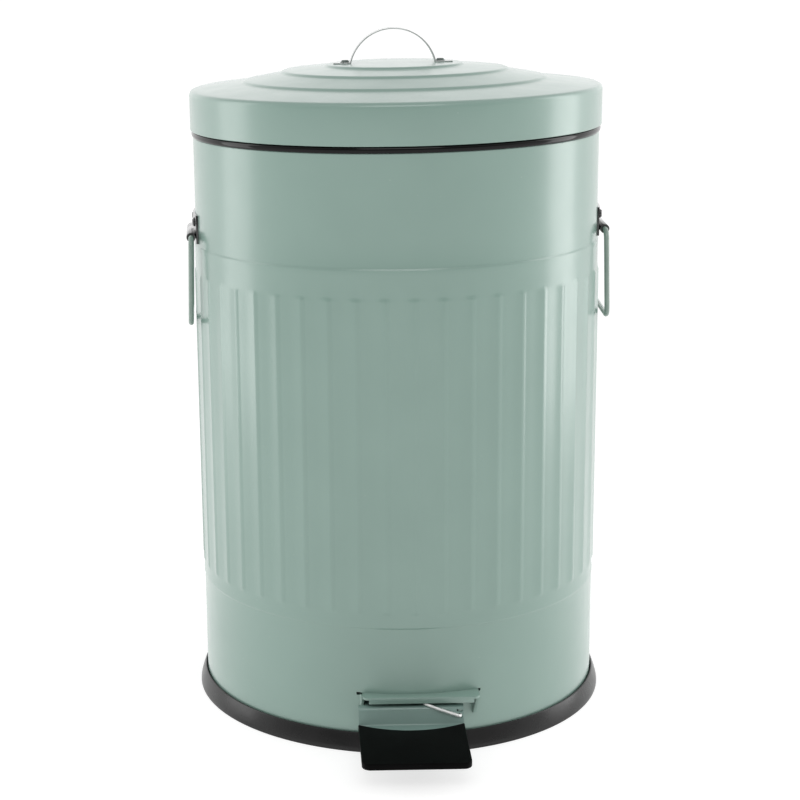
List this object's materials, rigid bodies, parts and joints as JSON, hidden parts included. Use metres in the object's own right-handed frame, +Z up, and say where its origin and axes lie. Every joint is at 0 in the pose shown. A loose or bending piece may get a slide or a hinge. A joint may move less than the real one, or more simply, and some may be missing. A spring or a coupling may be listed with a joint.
{
  "type": "pedal trash can",
  "caption": "Round ribbed steel pedal bin with a stepped hinged lid, lid handle, side wire handles, foot pedal, push rod and a lift-out inner bucket.",
  "frame": {"origin": "on the floor, on the axis of the drum, at the bottom of the base ring", "axes": "+Z up; the pedal points along -Y and the hinge is on the +Y side; +X is to the right of a person facing the pedal"},
  "size_m": [0.2634, 0.3218, 0.4215],
  "materials": {
    "green_paint": "satin grey-green paint",
    "black_moulding": "glossy black",
    "black_pad": "matte black",
    "grey_moulding": "moulded dark grey",
    "bright_strap": "rolled bright steel",
    "dark_rivet": "dark green paint",
    "black_hardware": "gloss black enamel",
    "painted_wire": "satin grey-green paint",
    "green_lever": "satin grey-green paint",
    "zinc_steel": "zinc plated"
  },
  "bodies": {
    "drum": {"drum_shell": "green_paint", "base_ring": "black_moulding", "base_plate": "zinc_steel", "top_collar": "black_moulding", "drum_hinge_bracket": "black_hardware", "drum_hinge_rivets": "black_hardware", "hinge_pin": "zinc_steel", "rod_guides": "grey_moulding", "pedal_bracket": "zinc_steel", "pedal_bracket_rivets": "zinc_steel", "pedal_pivot_pin": "zinc_steel", "pedal_guard": "green_paint", "left_handle_plate": "black_hardware", "right_handle_plate": "black_hardware", "handle_rivets": "black_hardware"},
    "lid": {"lid_shell": "green_paint", "lid_handle": "bright_strap", "lid_handle_rivets": "dark_rivet", "lid_hinge_bracket": "black_hardware", "lid_hinge_rivets": "black_hardware"},
    "pedal": {"pedal_lever": "green_lever", "pedal_pad": "black_pad", "pedal_wire": "zinc_steel"},
    "rod": {"push_rod": "zinc_steel", "rod_clips": "zinc_steel"},
    "left_bail": {"left_handle_bail": "painted_wire"},
    "right_bail": {"right_handle_bail": "painted_wire"},
    "bucket": {"inner_bucket": "grey_moulding"},
    "bucket_handle": {"bucket_bail": "zinc_steel"}
  },
  "joints": [
    {"name": "lid_hinge", "type": "hinge", "parent": "drum", "child": "lid", "pos_m": [0, 0.1345, 0.371], "axis": [-1, 0, 0], "range_deg": [0, 75]},
    {"name": "pedal_pivot", "type": "hinge", "parent": "drum", "child": "pedal", "pos_m": [0, -0.0837, 0.026], "axis": [1, 0, 0], "range_deg": [0, 6.75]},
    {"name": "rod_slide", "type": "slide", "parent": "drum", "child": "rod", "axis": [0, 0, 1], "range_m": [0, 0.0238]},
    {"name": "left_bail_hinge", "type": "hinge", "parent": "drum", "child": "left_bail", "pos_m": [-0.12782, -0.00446, 0.2984], "axis": [-0.0349, 0.9994, 0], "range_deg": [0, 170]},
    {"name": "right_bail_hinge", "type": "hinge", "parent": "drum", "child": "right_bail", "pos_m": [0.12782, -0.00446, 0.2984], "axis": [-0.0349, -0.9994, 0], "range_deg": [0, 170]},
    {"name": "bucket_lift", "type": "slide", "parent": "drum", "child": "bucket", "axis": [0, 0, 1], "range_m": [0, 0.008]},
    {"name": "bucket_bail_hinge", "type": "hinge", "parent": "bucket", "child": "bucket_handle", "pos_m": [0, 0, 0.3454], "axis": [-1, 0, 0], "range_deg": [0, 15]}
  ],
  "couplings": [
    {"joint": "pedal_pivot", "follows": "lid_hinge", "ratio": 0.0899},
    {"joint": "rod_slide", "follows": "lid_hinge", "m_per_rad": 0.018172}
  ]
}
